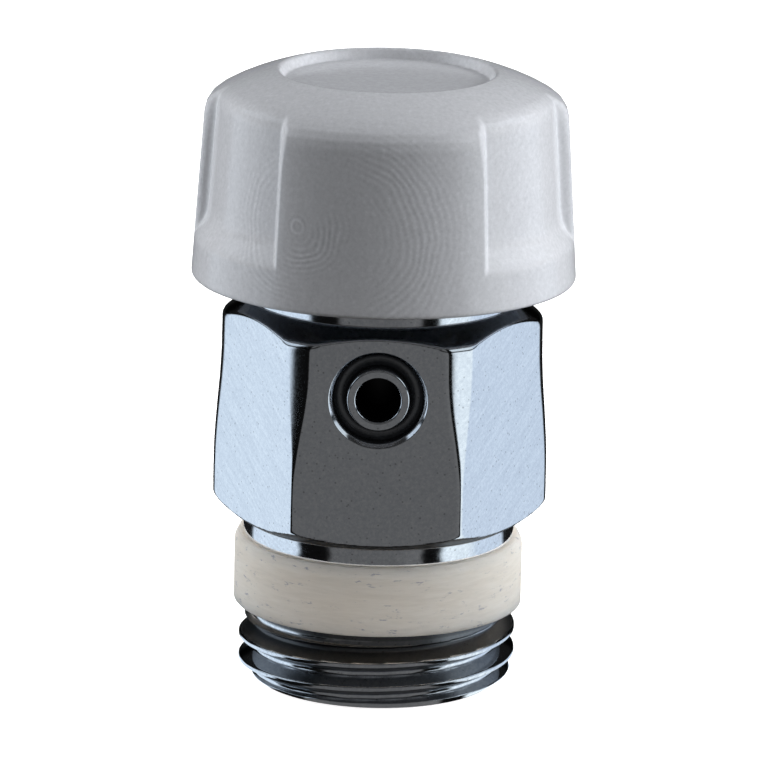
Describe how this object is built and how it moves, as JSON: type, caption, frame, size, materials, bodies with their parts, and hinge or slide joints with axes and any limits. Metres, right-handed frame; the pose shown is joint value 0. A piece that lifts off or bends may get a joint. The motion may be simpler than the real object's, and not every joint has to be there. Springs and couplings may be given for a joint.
{
  "type": "air release valve",
  "caption": "Radiator air release valve: chromed brass body with 22 mm hexagon, G 1/2 shank, PTFE seal ring, side port and moulded hand cap.",
  "frame": {"origin": "centre of the threaded end, on which the valve stands", "axes": "+Z along the valve's axis from the thread to the cap, -Y out of the discharge port"},
  "size_m": [0.0288, 0.0288, 0.0469],
  "materials": {
    "chromed_brass": "polished",
    "ptfe": "matte",
    "cap_plastic": "satin",
    "bare_brass": "satin",
    "spring_steel": "satin",
    "rubber": "matte",
    "acetal": "satin",
    "fibre": "matte"
  },
  "bodies": {
    "valve": {"valve_body": "chromed_brass", "ptfe_seal_ring": "ptfe", "guide_circlip": "spring_steel", "check_valve_guide": "bare_brass", "check_valve_spring": "spring_steel"},
    "check_poppet": {"check_valve_poppet": "bare_brass", "check_valve_o_ring": "rubber"},
    "cartridge": {"cartridge_cage": "acetal", "cage_lid": "acetal", "seat_seal": "rubber", "opening_pin": "bare_brass", "lower_pressure_washer": "bare_brass", "upper_pressure_washer": "bare_brass", "fibre_disc_1": "fibre", "fibre_disc_2": "fibre", "fibre_disc_3": "fibre", "fibre_disc_4": "fibre", "fibre_disc_5": "fibre", "fibre_disc_6": "fibre", "fibre_disc_7": "fibre", "fibre_disc_8": "fibre"},
    "cap": {"cap_shell": "cap_plastic", "spindle": "bare_brass", "spindle_o_ring": "rubber", "swivel_clip": "spring_steel"}
  },
  "joints": [
    {"name": "cartridge_lift", "type": "slide", "parent": "valve", "child": "cartridge", "axis": [0, 0, 1], "range_m": [0, 0.001]},
    {"name": "cap_turn", "type": "hinge", "parent": "cartridge", "child": "cap", "pos_m": [0, 0, 0.0269], "axis": [0, 0, 1], "range_deg": [0, 360]},
    {"name": "check_valve_lift", "type": "slide", "parent": "valve", "child": "check_poppet", "axis": [0, 0, 1], "range_m": [0, 0.001], "deforming": ["check_valve_spring"]}
  ],
  "couplings": [
    {"joint": "cap_turn", "follows": "cartridge_lift", "rad_per_m": 6283.2},
    {"joint": "check_valve_lift", "follows": "cartridge_lift", "ratio": 1}
  ]
}
